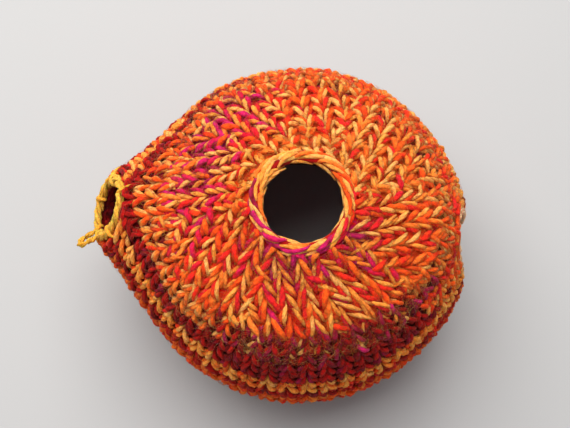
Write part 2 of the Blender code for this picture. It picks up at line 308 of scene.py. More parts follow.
def collar(phi, side):
    """A point on the oval edge of the opening, phi from -90 degrees (lowest) to 90 (highest)."""
    rise = np.sin(phi) * COLLAR_HALF_H
    return np.stack([
        COLLAR_X + math.sin(COLLAR_TILT) * rise,
        side * np.cos(phi) * COLLAR_HALF_W,
        COLLAR_Z + math.cos(COLLAR_TILT) * rise,
    ], axis=-1)


def opening_pull(s, side):
    """How far the fabric on the opening's centre line is drawn out at s."""
    quarter = np.full_like(s, math.pi / 2)
    half_turn = np.full_like(s, math.pi)
    low = collar(-quarter, side) - base(half_turn, np.full_like(s, OPENING_LOW_S))
    high = collar(quarter, side) - base(half_turn, np.full_like(s, SLIT_TOP_S))
    t = (s - OPENING_LOW_S) / (SLIT_TOP_S - OPENING_LOW_S)
    edge = collar(math.pi * (np.clip(t, 0, 1) - 0.5), side) - base(half_turn, s)
    under = np.clip(s / OPENING_LOW_S, 0, 1) ** UNDER_POWER
    over = np.clip(1 - (s - SLIT_TOP_S) / OVER_FADE, 0, 1) ** OVER_POWER
    pull = np.where((s < OPENING_LOW_S)[..., None], low * under[..., None], edge)
    return np.where((s > SLIT_TOP_S)[..., None], high * over[..., None], pull)


print("drawn-out oval (mm)", round(2 * COLLAR_HALF_W / MM), "by", round(2 * COLLAR_HALF_H / MM))

# %% [markdown]
# ## The slit and the whole form
# A place in the fabric is given as a maker would say it: how far round (u, nothing at the slit on
# the right and half a turn at the opening on the left), on which side (1 at the back, -1 at the
# front), and how far up from the hem along the cloth (s). One function turns that into a point. On
# the right the columns part round a tall slit, so the cloth there is spread sideways, not cut.


# %% The slit and the whole form
SLIT_LOW_S = 24 * MM
SLIT_HALF_W = 16.5 * MM
SLIT_SQUARENESS = 2.6
SLIT_REACH = math.radians(52)
OPENING_REACH = math.radians(44)
NOSE_ROUND = 0.14
EDGE_BLEND = 8 * MM


def slit_half_width(s):
    """Half the slit's width at s: nothing below and above it."""
    t = np.abs(2 * (s - SLIT_LOW_S) / (SLIT_TOP_S - SLIT_LOW_S) - 1)
    return SLIT_HALF_W * np.clip(1 - t ** SLIT_SQUARENESS, 0, 1) ** (1 / SLIT_SQUARENESS)


def outer(u, s, side):
    """The outer face of the fabric, about the upright line."""
    near_slit = 1 - np.minimum(u / SLIT_REACH, 1.0)
    p = base(side * (u + slit_half_width(s) / profile(s)[0] * near_slit ** 2), s)
    beside = smooth((s - OPENING_LOW_S) / EDGE_BLEND) * smooth((SLIT_TOP_S - s) / EDGE_BLEND)
    nose = NOSE_ROUND * (1 - beside)
    x = np.hypot((math.pi - u) / OPENING_REACH, nose)
    reach = np.clip((1 - x) / (1 - nose), 0, 1) ** 2
    return p + opening_pull(s, side) * reach[..., None]


def facing(u, s, side):
    """The way the outer face looks, from points some millimetres apart."""
    du, ds = math.radians(2.5), 2.5 * MM
    a = outer(np.minimum(u + du, math.pi), s, side) - outer(np.maximum(u - du, 0), s, side)
    b = outer(u, np.minimum(s + ds, FABRIC), side) - outer(u, np.maximum(s - ds, 0), side)
    return unit(np.cross(a, b) * side[..., None])


def fabric(u, s, side, lift):
    """Points at the lift above the outer face, and the way it faces there."""
    u, s, side, lift = np.broadcast_arrays(*(np.asarray(x, float) for x in (u, s, side, lift)))
    n = facing(u, s, side)
    return AXIS + outer(u, s, side) + n * lift[..., None], n


drawn_out = outer(np.array([math.pi]), np.array([SLIT_TOP_S]), np.array([1.0]))[0]
print("top of the drawn-out edge (mm)", np.round(drawn_out / MM, 1))

# %% [markdown]
# ## The knitted sheet
# Under the stitches lies the cloth itself, one sheet from hem to crown hole. It starts as two flat
# grids, one for the back and one for the front, which are bent onto the form and sewn together
# along their edges wherever the cloth isn't open. Two halves leave the openings free by themselves,
# where one grid all the way round would have to be cut.

# %% Two grids bent onto the form
SHEET_STEPS = 156
SHEET_ROWS = 96
SHEET_DEPTH = 2.4 * MM
SEAM_GAP = 0.01 * MM
AT_EDGE_U = 1e-4
AT_EDGE_S = 1e-6


def half_sheet(side):
    """One side's grid, bent onto the form. Its places in the cloth are kept as attributes."""
    deselect()
    bpy.ops.mesh.primitive_grid_add(x_subdivisions=SHEET_STEPS, y_subdivisions=SHEET_ROWS, size=1)
    half = bpy.context.object
    flat = points_of(half) + 0.5
    u = flat[:, 0] * math.pi
    marks = np.array([0.0, SLIT_LOW_S, OPENING_LOW_S, SLIT_TOP_S, FABRIC])
    rows = np.round(marks / FABRIC * SHEET_ROWS)
    s = np.interp(np.round(flat[:, 1] * SHEET_ROWS), rows, marks)
    sides = np.full_like(u, side)
    p, n = fabric(u, s, sides, 0)
    other = facing(u, s, -sides)
    above = s > SLIT_TOP_S - AT_EDGE_S
    slit = (u < AT_EDGE_U) & ((s < SLIT_LOW_S + AT_EDGE_S) | above)
    opening = (u > math.pi - AT_EDGE_U) & ((s < OPENING_LOW_S + AT_EDGE_S) | above)
    sewn = slit | opening
    n[sewn] = unit(n[sewn] + other[sewn])
    p = p - n * SHEET_DEPTH
    p[s < AT_EDGE_S, 2] = 0.0
    place_points(half, p)
    for name, values in (("around", u), ("along", s), ("side", sides)):
        half.data.attributes.new(name, "FLOAT", "POINT").data.foreach_set("value", values)
    return half


halves = [half_sheet(1), half_sheet(-1)]
deselect()
for half in halves:
    half.select_set(True)
bpy.context.view_layer.objects.active = halves[0]
bpy.ops.object.join()
sheet = bpy.context.object
sheet.name = "knit_fabric"
bpy.ops.object.mode_set(mode="EDIT")
bpy.ops.mesh.select_all(action="SELECT")
bpy.ops.mesh.remove_doubles(threshold=SEAM_GAP)
bpy.ops.mesh.normals_make_consistent(inside=False)
bpy.ops.object.mode_set(mode="OBJECT")
print("sheet points", len(sheet.data.vertices))

# %% [markdown]
# ## Thickness, and the wrong side
# Inside the crown hole and the openings one sees the wrong side of the knitting: rows of small
# bumps. Solidify gives the sheet its thickness, all of it inwards, and the points of the inner face
# are then pushed further in where a bump lies. Bumps painted by a material would be cheaper, but
# the rim would stay straight.

# %% Thickness, and the bumps of the wrong side
COLUMNS = 52
ROW_PITCH = 4.7 * MM
SHEET_THICKNESS = 1.9 * MM
BUMP = 0.9 * MM
BUMP_FADE_HEM = 4 * MM
BUMP_FADE_HOLE = 6 * MM
skin_points = len(sheet.data.vertices)
thicken = sheet.modifiers.new("thickness", "SOLIDIFY")
thicken.thickness = SHEET_THICKNESS
thicken.offset = -1
apply(sheet, thicken)


def attribute(piece, name):
    """A number kept for each point of a piece."""
    values = np.zeros(len(piece.data.vertices))
    piece.data.attributes[name].data.foreach_get("value", values)
    return values


around, along = attribute(sheet, "around"), attribute(sheet, "along")
column = around / math.pi * COLUMNS / 2
row = along / ROW_PITCH
staggered = column + 0.5 * np.floor(row)
arch = np.abs(np.sin(math.pi * row)) * (0.35 + 0.65 * np.cos(math.pi * staggered) ** 2)
p, n = fabric(around, along, attribute(sheet, "side"), 0)
inner = np.arange(len(p)) >= skin_points
calm = smooth(along / BUMP_FADE_HEM) * smooth((FABRIC - along) / BUMP_FADE_HOLE)
points = points_of(sheet)
points[inner] -= n[inner] * (BUMP * arch * calm)[inner, None]
points[along < AT_EDGE_S, 2] = 0.0
place_points(sheet, points)
bpy.ops.object.shade_smooth()
print("sheet faces", len(sheet.data.polygons))

# %% [markdown]
# ## A strand of yarn
# Every stitch shows as two legs in a V, and each leg is two strands that lie side by side and twist
# slowly. One strand is modelled by hand: a small hexagon is drawn out station by station, swelling
# from one tucked-in end and tapering to the other. A curve with a bevel would be rounder, but
# thousands of strands have to stay light, and seen at this size six sides look round.

# %% The strand pattern
STRAND_SIDES = 6
# Thickness at each station, as a share of the strand's radius.
TAPER = (0.35, 0.72, 0.95, 1.07, 1.07, 0.95, 0.72, 0.35)
STATIONS = len(TAPER)


def draw_out(sides, taper):
    """A closed strand with that many sides, one unit long for each station."""
    deselect()
    bpy.ops.mesh.primitive_circle_add(vertices=sides, radius=taper[0], fill_type="NGON")
    piece = bpy.context.object
    bpy.ops.object.mode_set(mode="EDIT")
    bpy.ops.mesh.select_all(action="SELECT")
    for before, after in zip(taper, taper[1:]):
        bpy.ops.mesh.extrude_region_move(TRANSFORM_OT_translate={"value": (0, 0, 1)})
        grow = after / before
        bpy.ops.transform.resize(value=(grow, grow, 1))
    bpy.ops.mesh.select_all(action="SELECT")
    bpy.ops.mesh.normals_make_consistent(inside=False)
    bpy.ops.object.mode_set(mode="OBJECT")
    return piece


class Pattern:
    """The strand's points and faces as arrays, ready to be copied."""

    def __init__(self, piece):
        p = points_of(piece)
        mesh = piece.data
        self.station = np.round(p[:, 2]).astype(int)
        self.angle = np.arctan2(p[:, 1], p[:, 0])
        self.radius = np.hypot(p[:, 0], p[:, 1])
        self.corner = np.array([v for f in mesh.polygons for v in f.vertices])
        self.sizes = np.array([len(f.vertices) for f in mesh.polygons])
        turn = self.angle[self.corner] / (2 * math.pi)
        starts = np.cumsum(self.sizes) - self.sizes
        for start, size in zip(starts, self.sizes):
            loop = turn[start:start + size]
            if size == 4 and loop.max() - loop.min() > 0.5:
                loop[loop < 0] += 1
        self.turn = turn
        bpy.data.objects.remove(piece)


strand = Pattern(draw_out(STRAND_SIDES, TAPER))
print("faces in a strand", len(strand.sizes))


# %% [markdown]
# ## Copying the strand
# The strand is copied along many short lines, each copy with its own bend, thickness and dye. An
# array modifier can't do that, and a copied object for every strand would take minutes, so all the
# copies of a piece are worked out together and become one mesh. Hand-spun yarn is uneven: each
# station is a little thicker or thinner, and a little aside.


# %% Copying the strand along many lines
LUMPS = 0.1
WANDER = 0.09 * MM
MAP_SHIFT = 40


def skin(centre, up, radius, strand):
    """The strand's cross-sections carried along each line."""
    run = unit(np.gradient(centre, axis=1))
    across = unit(np.cross(run, up))
    over = np.cross(across, run)
    k = strand.station
    a = (np.cos(strand.angle) * strand.radius)[None, :, None]
    b = (np.sin(strand.angle) * strand.radius)[None, :, None]
    points = centre[:, k] + radius[:, k, None] * (across[:, k] * a + over[:, k] * b)
    points[..., 2] = np.maximum(points[..., 2], 0.0)
    return points


def mesh_of(name, points, corners, sizes):
    """A smooth mesh from its points, its faces' corners and the number of corners of each face."""
    mesh = bpy.data.meshes.new(name)
    mesh.vertices.add(len(points))
    mesh.vertices.foreach_set("co", points.ravel())
    mesh.loops.add(len(corners))
    mesh.loops.foreach_set("vertex_index", corners)
    mesh.polygons.add(len(sizes))
    mesh.polygons.foreach_set("loop_start", np.cumsum(sizes) - sizes)
    mesh.update(calc_edges=True)
    mesh.polygons.foreach_set("use_smooth", np.ones(len(sizes), bool))
    return mesh


def wind(name, centre, up, radius, dye, rng, strand=strand):
    """One mesh of many strands. centre and up are (strands, stations, 3), radius and dye one each."""
    count = len(centre)
    centre = centre + rng.normal(0, WANDER, centre.shape)
    radius = radius[:, None] * (1 + rng.normal(0, LUMPS, centre.shape[:2]))
    points = skin(centre, up, radius, strand)
    each = points.shape[1]
    corners = (strand.corner[None, :] + np.arange(count)[:, None] * each).ravel()
    sizes = np.tile(strand.sizes, count)
    mesh = mesh_of(name, points.reshape(-1, 3), corners, sizes)
    steps = np.linalg.norm(np.diff(centre, axis=1), axis=2)
    length = np.append(np.zeros((count, 1)), np.cumsum(steps, axis=1), 1)
    uv = np.empty((count, len(strand.corner), 2))
    uv[..., 0] = strand.turn + rng.random(count)[:, None]
    uv[..., 1] = length[:, strand.station[strand.corner]] / MM + rng.random(count)[:, None] * MAP_SHIFT
    mesh.uv_layers.new(name="strand").data.foreach_set("uv", uv.ravel())
    shades = mesh.attributes.new("dye", "FLOAT", "POINT")
    shades.data.foreach_set("value", np.repeat(dye, each))
    piece = bpy.data.objects.new(name, mesh)
    bpy.context.scene.collection.objects.link(piece)
    print(name, "strands", count, "triangles", int((sizes - 2).sum()))
    return piece


# %% [markdown]
# ## Two strands side by side
# Both yarns are worked together, so each leg shows two strands that turn slowly round each other.
# They could be one thick strand with a painted groove, but each has its own dye. So every line is
# doubled, and the pair is pressed a little flat, as it lies on the cloth.


# %% Two strands side by side
FLATTENED = 0.75


def double(centre, up, apart, phase, twist):
    """Each line becomes two, side by side, that turn slowly round each other."""
    run = unit(np.gradient(centre, axis=1))
    across = unit(np.cross(run, up))
    over = np.cross(across, run)
    t = np.linspace(-0.5, 0.5, centre.shape[1])
    turn = phase[:, None] + twist[:, None] * t
    shift = apart * (across * np.cos(turn)[..., None] + FLATTENED * over * np.sin(turn)[..., None])
    return np.concatenate([centre + shift, centre - shift]), np.concatenate([up, up])


# %% [markdown]
# ## The colours of the yarn
# Two yarns are knitted together. On the crown one stays straw gold while the other changes slowly
# from orange through red and rose to magenta. On the wall both change with the rows, which gives
# stripes of gold, orange, red and crimson. The maroon among them is painted shade, darker than the
# yarn, for the wall's shaded front and the gaps between its stitches. A material for each colour
# would be a long list and would change colour in steps, so each strand keeps one number, its dye,
# and a single material turns the number into a colour.

# %% Dyes, from straw gold (0) to crimson (1)
STRAW = 0.0
GOLD = 0.12
ORANGE = 0.28
RED = 0.42
ROSE = 0.55
MAGENTA = 0.70
PLUM = 0.80
# Painted shade, not a yarn: the darkest dye, for the wall's shaded front and its gaps.
MAROON_SHADE = 0.90
CRIMSON = 1.0
# The wall's stripes from the hem up: rows in the stripe, dye of its first yarn, dye of its second.
# The lowest ones are out of the photograph's sight and carry on the same order.
WALL_STRIPES = (
    (2, RED, RED),
    (2, GOLD, STRAW),
    (2, CRIMSON, CRIMSON),
    (3, ORANGE, STRAW),
    (2, RED, CRIMSON),
    (3, ORANGE, ORANGE),
    (2, CRIMSON, RED),
    (2, GOLD, ORANGE),
    # A real crimson stripe whose second yarn is maroon, painted shade for the wall's shaded front.
    (3, CRIMSON, MAROON_SHADE),
    (3, ORANGE, STRAW),
)
# Over the slit and round the back the dark stripe fades.
FADED_STRIPES = WALL_STRIPES[:8] + (
    (2, ORANGE, STRAW),
    (1, RED, ORANGE),
    (3, ORANGE, STRAW),
)


def by_rows(stripes):
    """The two dyes of each row."""
    return np.array([(first, second) for rows, first, second in stripes for _ in range(rows)])


ROW_DYES, FADED_DYES = by_rows(WALL_STRIPES), by_rows(FADED_STRIPES)
WALL_ROWS = len(ROW_DYES)
print("rows on the wall", WALL_ROWS)

# %% [markdown]
# ## Where each dye goes
# On the real cosy the length of the dyed stretches decides where a colour falls, so the patches
# look unplanned. A random pattern wouldn't put them where the photograph has them. Instead the
# azimuth decides, read from the picture, with a random spread so that no border is sharp.


# %% The dye at a place
PICTURE_TURN = 5
# Between these rows the stripes climb towards the drawn-out opening, by that many rows at most.
CLIMB_FROM, CLIMB_TO = 10, 20
CLIMB_ROWS = 1.45
CLIMB_REACH = (30, 85)
OPENING_AZIMUTH = 168
# Where the dark stripe fades and comes back, in degrees from the front past the right.
FADE = (45, 70, 185, 215)
PATCH_HOLE_R = 27 * MM
PATCH_BLEND = 16 * MM
PATCH_SPREAD = 0.09
# The changing yarn's dye over the crown: the picture's azimuth, dye near the hole, dye near the ridge.
CROWN_PATCHES = np.array([
    (0, 0.36, 0.30), (20, 0.30, 0.27), (45, 0.27, 0.33), (70, 0.24, 0.34), (95, 0.26, 0.40),
    (120, 0.30, 0.60), (145, 0.30, 0.68), (170, 0.32, 0.66), (190, 0.36, 0.52), (205, 0.38, 0.40),
    (225, 0.54, 0.34), (245, 0.60, 0.36), (262, 0.66, 0.44), (283, 0.56, 0.36), (300, 0.54, 0.40),
    (322, 0.68, 0.38), (340, 0.60, 0.33), (360, 0.36, 0.30),
])


def wall_dyes(row, azimuth, rng):
    """The dyes of both yarns at places on the wall."""
    climb = np.interp(np.abs(azimuth - OPENING_AZIMUTH), CLIMB_REACH, (CLIMB_ROWS, 0))
    climb = climb * (row > CLIMB_FROM) * (row <= CLIMB_TO)
    faded = np.interp((azimuth + 90) % 360, FADE, (0, 1, 1, 0)) > rng.random(len(row))
    row = np.round(row - climb + rng.normal(0, 0.08, len(row)) * (climb > 0)).astype(int)
    return np.where(faded[:, None], FADED_DYES[row], ROW_DYES[row])


def crown_dye(azimuth, r, rng):
    """The changing yarn's dye at a place on the crown."""
    near_hole = np.interp(azimuth, CROWN_PATCHES[:, 0], CROWN_PATCHES[:, 1])
    near_ridge = np.interp(azimuth, CROWN_PATCHES[:, 0], CROWN_PATCHES[:, 2])
    share = smooth((r - PATCH_HOLE_R) / PATCH_BLEND)
    spread = rng.normal(0, PATCH_SPREAD, len(azimuth))
    return np.clip(near_hole + (near_ridge - near_hole) * share + spread, 0.05, 0.95)


def sprinkle(base_dye, spread, rng):
    """Dyes with a little spread, as hand dyeing gives."""
    return np.clip(base_dye + rng.normal(0, spread, len(base_dye)), 0, 1)


def picture_azimuth(u, side):
    """The picture's azimuth of a place in the fabric, in degrees."""
    return (np.degrees(u * side) - PICTURE_TURN) % 360


print("crown patches", len(CROWN_PATCHES))

# %% [markdown]
# ## The colour of the wool
# Hand-dyed wool drifts in colour along the strand, and its fibres show as fine streaks. The dye
# number, shifted a little by noise, picks a colour from a ramp. More noise, drawn out along the
# strand, darkens and lightens it. A picture of wool wrapped round each strand would show its seams
# and repeats, and this has none.


# %% The colour of the wool
# A dye and its colour.
WOOL_COLOURS = (
    (STRAW, (0.95, 0.42, 0.110)),
    (GOLD, (0.95, 0.32, 0.045)),
    (ORANGE, (0.93, 0.105, 0.008)),
    (RED, (0.80, 0.020, 0.008)),
    (ROSE, (0.66, 0.008, 0.028)),
    (MAGENTA, (0.62, 0.012, 0.13)),
    (PLUM, (0.36, 0.010, 0.048)),
    # Painted shade: a maroon darker than the yarns, which stands for shade on the wall.
    (MAROON_SHADE, (0.15, 0.004, 0.005)),
    (CRIMSON, (0.42, 0.005, 0.004)),
)
DRIFT = 0.36
DRIFT_SCALE = 200


def add(material, kind, **values):
    """A shader node with its settings."""
    node = material.node_tree.nodes.new(kind)
    for name, value in values.items():
        setattr(node, name, value)
    return node


def dye_colour(material, colours):
    """The dye turned into a colour, after it has drifted a little from place to place."""
    link = material.node_tree.links.new
    place = add(material, "ShaderNodeTexCoord")
    dye = add(material, "ShaderNodeAttribute", attribute_name="dye")
    drift = add(material, "ShaderNodeTexNoise")
    drift.inputs["Scale"].default_value = DRIFT_SCALE
    drift.inputs["Detail"].default_value = 3
    link(place.outputs["Object"], drift.inputs["Vector"])
    shifted = add(material, "ShaderNodeMath", operation="MULTIPLY_ADD")
    shifted.inputs[1].default_value = DRIFT
    link(drift.outputs["Fac"], shifted.inputs[0])
    link(dye.outputs["Fac"], shifted.inputs[2])
    level = add(material, "ShaderNodeMath", operation="SUBTRACT")
    level.inputs[1].default_value = DRIFT / 2
    link(shifted.outputs[0], level.inputs[0])
    ramp = add(material, "ShaderNodeValToRGB")
    while len(ramp.color_ramp.elements) < len(colours):
        ramp.color_ramp.elements.new(0.5)
    for element, (position, colour) in zip(ramp.color_ramp.elements, colours):
        element.position = position
        element.color = (*colour, 1)
    link(level.outputs[0], ramp.inputs["Fac"])
    return ramp.outputs["Color"]


def fibres_along(material, strand_map):
    """Noise drawn out along the strand, as its fibres lie."""
    link = material.node_tree.links.new
    stretched = add(material, "ShaderNodeMapping")
    stretched.inputs["Scale"].default_value = (9, 0.9, 1)
    link(strand_map, stretched.inputs["Vector"])
    fibre = add(material, "ShaderNodeTexNoise")
    fibre.inputs["Scale"].default_value = 1.0
    fibre.inputs["Detail"].default_value = 4
    link(stretched.outputs["Vector"], fibre.inputs["Vector"])
    return fibre.outputs["Fac"]


def streaked(material, colour, fibres):
    """The colour made darker and lighter along the fibres."""
    link = material.node_tree.links.new
    streak = add(material, "ShaderNodeMapRange")
    streak.inputs["From Min"].default_value = 0.3
    streak.inputs["From Max"].default_value = 0.7
    streak.inputs["To Min"].default_value = 0.62
    streak.inputs["To Max"].default_value = 1.18
    link(fibres, streak.inputs["Value"])
    tint = add(material, "ShaderNodeVectorMath", operation="SCALE")
    link(colour, tint.inputs[0])
    link(streak.outputs["Result"], tint.inputs["Scale"])
    return tint.outputs[0]


print("dyes in the ramp", len(WOOL_COLOURS))

# %% [markdown]
# ## The plies and the finish of the wool
# Close up, a strand is three plies wound round each other. A sine that winds round the strand gives
# them as bump, because real grooves would need many more faces on thousands of strands. Light
# enters wool a little and comes out again, hence the subsurface part, and the loose ends of its
# fibres give a faint sheen.


# %% The plies and the finish of the wool
PLIES = 3
PLY_PITCH = 4.2
PLY_HEIGHT = 0.28


def sine_of(material, vector, turns, pitch):
    """Ridges that wind round a strand: a sine of its turn and of the distance along it."""
    link = material.node_tree.links.new
    apart = add(material, "ShaderNodeSeparateXYZ")
    link(vector, apart.inputs["Vector"])
    a = add(material, "ShaderNodeMath", operation="MULTIPLY")
    a.inputs[1].default_value = 2 * math.pi * turns
    link(apart.outputs["X"], a.inputs[0])
    b = add(material, "ShaderNodeMath", operation="MULTIPLY_ADD")
    b.inputs[1].default_value = 2 * math.pi / pitch
    link(apart.outputs["Y"], b.inputs[0])
    link(a.outputs[0], b.inputs[2])
    wave = add(material, "ShaderNodeMath", operation="SINE")
    link(b.outputs[0], wave.inputs[0])
    return wave.outputs[0]


def relief(material, strand_map, fibres):
    """Bump from the plies and the fibres."""
    link = material.node_tree.links.new
    plies = sine_of(material, strand_map, PLIES, PLY_PITCH)
    height = add(material, "ShaderNodeMath", operation="MULTIPLY_ADD")
    height.inputs[1].default_value = PLY_HEIGHT
    link(plies, height.inputs[0])
    link(fibres, height.inputs[2])
    bump = add(material, "ShaderNodeBump")
    bump.inputs["Strength"].default_value = 0.8
    bump.inputs["Distance"].default_value = 0.5 * MM
    link(height.outputs[0], bump.inputs["Height"])
    return bump.outputs["Normal"]


def wool(name, colours):
    """Spun wool: three plies that wind round the strand, streaks of fibre and a soft sheen."""
    material = bpy.data.materials.new(name)
    material.use_nodes = True
    link = material.node_tree.links.new
    shader = material.node_tree.nodes["Principled BSDF"]
    shader.inputs["Roughness"].default_value = 0.85
    shader.inputs["Sheen Weight"].default_value = 0.09
    shader.inputs["Sheen Roughness"].default_value = 0.5
    shader.inputs["Sheen Tint"].default_value = (1.0, 0.60, 0.36, 1)
    shader.inputs["Specular IOR Level"].default_value = 0.10
    shader.inputs["Subsurface Weight"].default_value = 0.45
    shader.inputs["Subsurface Radius"].default_value = (1.0, 0.35, 0.15)
    shader.inputs["Subsurface Scale"].default_value = 1.8 * MM

    strand_map = add(material, "ShaderNodeUVMap", uv_map="strand").outputs["UV"]
    fibres = fibres_along(material, strand_map)
    colour = streaked(material, dye_colour(material, colours), fibres)
    link(colour, shader.inputs["Base Color"])
    link(relief(material, strand_map, fibres), shader.inputs["Normal"])
    print(name, "colours", len(colours))
    return material


wool_finish = wool("hand_dyed_wool", WOOL_COLOURS)

# %% [markdown]
# ## The legs of a plain stitch
# Plain knitting shows columns of V shapes with their points towards the hem. A leg starts tucked in
# at the point of its V, rises over the stitch below it and dives under the stitch above. A whole
# loop could be modelled, as it runs through the cloth, but its lower half never shows, so only the
# two legs are made. Each leans and bows a little, because hands aren't machines.

# %% Legs of plain stitches
LEG_T = np.linspace(0, 1, STATIONS)
LEG_LOW = -1.6 * MM
LEG_RISE = 7.4 * MM
LEG_FOOT = 0.5 * MM
LEG_REACH = 4.0 * MM
LEG_BODY = -0.15 * MM
LEG_TUCK_LOW = 2.1 * MM
LEG_TUCK_HIGH = 1.9 * MM
LEG_RISES_UNTIL = 0.38
LEG_DIVES_FROM = 0.55
STRAND_R = 1.02 * MM
PAIR_APART = 0.9 * MM
# Where the wall ends and the crown's columns start: the picture's azimuth, the radius in millimetres.
CROWN_EDGE = np.array([
    (0, 58), (40, 59.5), (110, 59.5), (160, 57), (245, 56.5),
    (265, 54.5), (305, 54.5), (330, 57), (360, 58),
])


def crown_edge(azimuth):
    """Radius where the wall ends and the crown's columns start, a little farther in at the front."""
    return MM * np.interp(azimuth, CROWN_EDGE[:, 0], CROWN_EDGE[:, 1])


def leg_shape(count, hand, rng, wide=1.0, tall=1.0):
    """Lines of legs in the cloth's own plane: across, along and lift, one row for each leg."""
    t = LEG_T[None, :]
    length = tall * (1 + rng.normal(0, 0.09, (count, 1)))
    lean = rng.normal(0, 0.7 * MM, (count, 1))
    bow = rng.normal(0.1 * MM, 0.35 * MM, (count, 1))
    x = LEG_FOOT + (LEG_REACH - LEG_FOOT) * (0.25 * smooth(t) + 0.75 * t)
    x = hand[:, None] * (x * wide + 0.5 * lean * t + bow * np.sin(math.pi * t))
    x = x + rng.normal(0, 0.28 * MM, (count, 1))
    y = LEG_LOW + LEG_RISE * length * t + rng.normal(0, 0.3 * MM, (count, 1))
    z = LEG_BODY - LEG_TUCK_LOW * np.clip(1 - t / LEG_RISES_UNTIL, 0, 1) ** 1.8
    z = z - LEG_TUCK_HIGH * np.clip((t - LEG_DIVES_FROM) / (1 - LEG_DIVES_FROM), 0, 1) ** 1.6
    z = z + rng.normal(0, 0.28 * MM, (count, 1))
    return x, y, z


print("leg (mm)", "long", round(LEG_RISE / MM, 1), "strand", round(2 * STRAND_R / MM, 1))

# %% [markdown]
# ## The stitches of the wall
# The wall has 52 columns of stitches in 24 rows. Where the belly is wide the stitches are spread,
# and where the wall draws in they are narrow, so their width follows the profile. The wall could be
# one mesh, but it is made as three bands of rows, which keeps each piece light. Near the ridge in
# front the top rows get dark plum, maroon and crimson dyes: painted shade, as that face turns away
# from the light.


# %% Rows of the wall
WALL_FIRST_S = 3.0 * MM
RIDGE_ROWS = 3
# The azimuths between which the ridge in front gets painted shade, as dark dyes.
RIDGE_SHADE_AZIMUTHS = (225, 250, 315, 335)
FULL_PITCH = 8.8 * MM
RIDGE_EDGE_R = 57.6 * MM
SEAM_U = 0.004
LOWEST_S = 0.8 * MM


def wall_stitches(name, rows, seed):
    """The stitches of some rows of the wall, all the way round."""
    rng = np.random.default_rng(seed)
    row, column, side, hand = (
        g.ravel() for g in np.meshgrid(rows, np.arange(COLUMNS // 2), (1, -1), (1, -1), indexing="ij")
    )
    azimuth = picture_azimuth(math.pi * (column + 0.5) / (COLUMNS / 2), side)
    kept = (row < WALL_ROWS - 1) | (crown_edge(azimuth) < RIDGE_EDGE_R)
    row, column, side, hand, azimuth = (g[kept] for g in (row, column, side, hand, azimuth))
    r = profile(WALL_FIRST_S + ROW_PITCH * row)[0]
    pitch = 2 * math.pi * r / COLUMNS
    wide = (pitch / FULL_PITCH)[:, None]
    x, y, z = leg_shape(len(row), hand, rng, wide)
    s = np.clip(WALL_FIRST_S + ROW_PITCH * row[:, None] + y, LOWEST_S, FABRIC)
    u = math.pi * (column + 0.5)[:, None] / (COLUMNS / 2) + x / profile(s)[0]
    u = np.clip(u, SEAM_U, math.pi - SEAM_U)
    centre, up = fabric(u, s, side[:, None], z)
    phase = rng.normal(0.9, 0.4, len(row))
    twist = rng.normal(2.3, 0.5, len(row))
    centre, up = double(centre, up, PAIR_APART * np.minimum(wide, 1.0)[..., None], phase, twist)
    first, second = wall_dyes(row, azimuth, rng).T
    # Painted shade: in front, the ridge rows' yarns get dark dyes in place of their stripe.
    shaded = np.interp(azimuth, RIDGE_SHADE_AZIMUTHS, (0, 1, 1, 0)) > rng.random(len(row))
    shaded = shaded & (row >= WALL_ROWS - RIDGE_ROWS)
    first = np.where(shaded, rng.uniform(0.80, 0.95, len(row)), first)
    second = np.where(shaded & (rng.random(len(row)) < 0.7), CRIMSON, second)
    dyes = np.concatenate([sprinkle(first, 0.05, rng), sprinkle(second, 0.05, rng)])
    radius = STRAND_R * np.concatenate([wide, wide])[:, 0] ** 0.35
    radius = radius * (1 + rng.normal(0, 0.05, len(radius)))
    return wind(name, centre, up, radius, dyes, rng)


stitches = [
    wall_stitches("stitches_hem", range(0, 7), 11),
    wall_stitches("stitches_lower", range(7, 14), 12),
    wall_stitches("stitches_upper", range(14, WALL_ROWS), 13),
]

# %% [markdown]
# ## The stitches of the crown
# The crown is knitted in eight sections. In each one the columns run side by side towards the hole
# and the last one is knitted together with its neighbour again and again, so that they end one
# after the other along a line. Seen from above that gives the crown its slow pinwheel. Columns that
# all point at the middle would be simpler, but they would narrow to nothing at the hole, where the
# real stitches keep their width.

# %% Places of the crown's stitches
# The picture's azimuths of the lines where the columns end.
SECTION_EDGES = (17, 67, 103, 140, 187, 245, 288, 327)
SECTION_LEAN = 2
SECTION_OVERLAP = 3
SECTION_WIDTH = 60 * MM
CROWN_PITCH = 8.6 * MM
CROWN_ROW = 5.0 * MM
CROWN_OUTER_R = 59.5 * MM
CROWN_INNER_R = 24.0 * MM
# How loose the stitches are: the picture's azimuth, looseness from none to 1.
LOOSENESS = np.array([
    (0, 0.4), (60, 0.35), (110, 0.0), (200, 0.0), (235, 1.0), (300, 1.0), (330, 0.6), (360, 0.4),
])


def looseness(azimuth):
    """How loose the crown's stitches are: tight at the back left, loose at the front."""
    return np.interp(azimuth, LOOSENESS[:, 0], LOOSENESS[:, 1])


